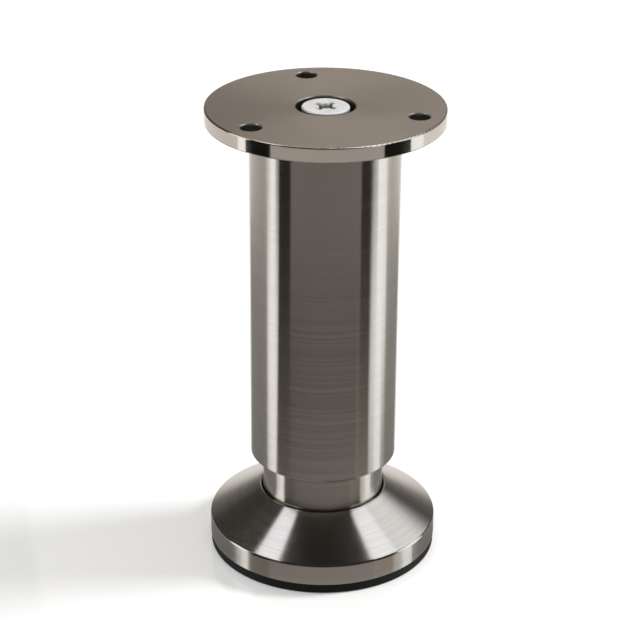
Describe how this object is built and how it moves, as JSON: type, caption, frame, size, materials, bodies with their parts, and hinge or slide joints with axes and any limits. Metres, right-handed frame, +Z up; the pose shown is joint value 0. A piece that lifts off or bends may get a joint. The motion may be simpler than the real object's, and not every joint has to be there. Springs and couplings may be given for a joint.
{
  "type": "furniture leg",
  "caption": "Round metal furniture leg with a screw-on top plate and a flared foot that screws in and out to level it.",
  "frame": {"origin": "centre of the floor pad's lower face, on the leg's axis, with the foot at the pictured height", "axes": "+Z up along the leg's axis towards the fixing plate; -Y towards the picture's viewer; +X to that viewer's right"},
  "size_m": [0.06, 0.06, 0.1221],
  "materials": {
    "brushed_nickel_steel": "nickel plated steel, brushed around the circumference, satin",
    "plated_casting": "zinc alloy casting, fine satin nickel plate on the face, bright on the rim",
    "zinc_plated_steel": "bright zinc plate",
    "plain_casting": "zinc alloy as cast, matt",
    "white_nylon": "moulded nylon, satin",
    "black_nylon": "moulded nylon, satin",
    "black_rubber": "moulded rubber, matt"
  },
  "bodies": {
    "leg": {"mounting_plate": "plated_casting", "centre_screw": "zinc_plated_steel", "lock_washer": "zinc_plated_steel", "top_insert": "plain_casting", "outer_tube": "brushed_nickel_steel", "thread_bush": "plain_casting", "guide_ring": "white_nylon"},
    "foot": {"flared_foot": "brushed_nickel_steel", "foot_core": "black_nylon", "floor_pad": "black_rubber"},
    "neck": {"neck_sleeve": "brushed_nickel_steel", "neck_plug": "plain_casting", "adjusting_stud": "zinc_plated_steel", "stud_nut": "zinc_plated_steel", "swivel_screw": "zinc_plated_steel", "swivel_washer": "zinc_plated_steel"}
  },
  "joints": [
    {"name": "foot_height", "type": "slide", "parent": "leg", "child": "foot", "axis": [0, 0, 1], "range_m": [-0.0113, 0.0087]},
    {"name": "neck_turn", "type": "hinge", "parent": "foot", "child": "neck", "pos_m": [0, 0, 0], "axis": [0, 0, 1], "range_deg": [-2713, 2089]}
  ],
  "couplings": [
    {"joint": "neck_turn", "follows": "foot_height", "rad_per_m": 4188.8}
  ]
}
